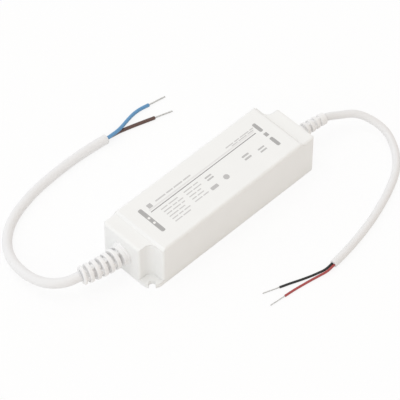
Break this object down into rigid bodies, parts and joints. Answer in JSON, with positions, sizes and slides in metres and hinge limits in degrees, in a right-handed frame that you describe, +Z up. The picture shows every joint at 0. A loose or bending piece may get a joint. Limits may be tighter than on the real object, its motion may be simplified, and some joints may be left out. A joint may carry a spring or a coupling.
{
  "type": "led driver",
  "caption": "Sealed white plastic lamp power supply: long potted box with notched corners over slotted screw ears, segmented strain reliefs and stripped cables at both ends.",
  "frame": {"origin": "middle of the housing's underside, on the surface it is screwed to", "axes": "+X from the mains end to the lamp end, +Z up from the mounting surface, -Y the long side that faces the viewer"},
  "size_m": [0.2051, 0.1485, 0.0272],
  "materials": {
    "housing_white": "satin",
    "cable_white": "satin",
    "core_blue": "satin",
    "core_brown": "satin",
    "core_black": "satin",
    "core_red": "satin",
    "tinned_copper": "satin",
    "board_green": "satin",
    "potting_grey": "matte",
    "ferrite": "matte",
    "copper_wire": "satin",
    "black_plastic": "matte",
    "heatsink_metal": "satin",
    "yellow_plastic": "satin",
    "blue_lacquer": "satin",
    "pale_ceramic": "matte"
  },
  "bodies": {
    "root": {"housing": "housing_white", "base_cover": "housing_white", "potting_compound": "potting_grey", "circuit_board": "board_green", "input_strain_relief": "cable_white", "input_cable_entry": "cable_white", "input_cable": "cable_white", "input_core_blue": "core_blue", "input_core_brown": "core_brown", "blue_wire_tip": "tinned_copper", "brown_wire_tip": "tinned_copper", "output_strain_relief": "cable_white", "output_cable_entry": "cable_white", "output_cable": "cable_white", "output_core_black": "core_black", "output_core_red": "core_red", "black_wire_tip": "tinned_copper", "red_wire_tip": "tinned_copper", "input_lead_blue": "core_blue", "input_lead_brown": "core_brown", "output_lead_black": "core_black", "output_lead_red": "core_red", "fuse": "pale_ceramic", "varistor": "blue_lacquer", "x_capacitor": "yellow_plastic", "choke_core": "ferrite", "choke_winding": "copper_wire", "bridge_rectifier": "black_plastic", "bulk_capacitor": "black_plastic", "snubber_resistor": "pale_ceramic", "controller_chip": "black_plastic", "switching_transistor": "black_plastic", "transistor_heatsink": "heatsink_metal", "transformer_core": "ferrite", "transformer_bobbin": "black_plastic", "transformer_winding": "yellow_plastic", "y_capacitor": "blue_lacquer", "optocoupler": "black_plastic", "output_diode": "black_plastic", "diode_heatsink": "heatsink_metal", "output_capacitor_1": "black_plastic", "output_capacitor_2": "black_plastic", "output_inductor": "ferrite"}
  },
  "joints": []
}
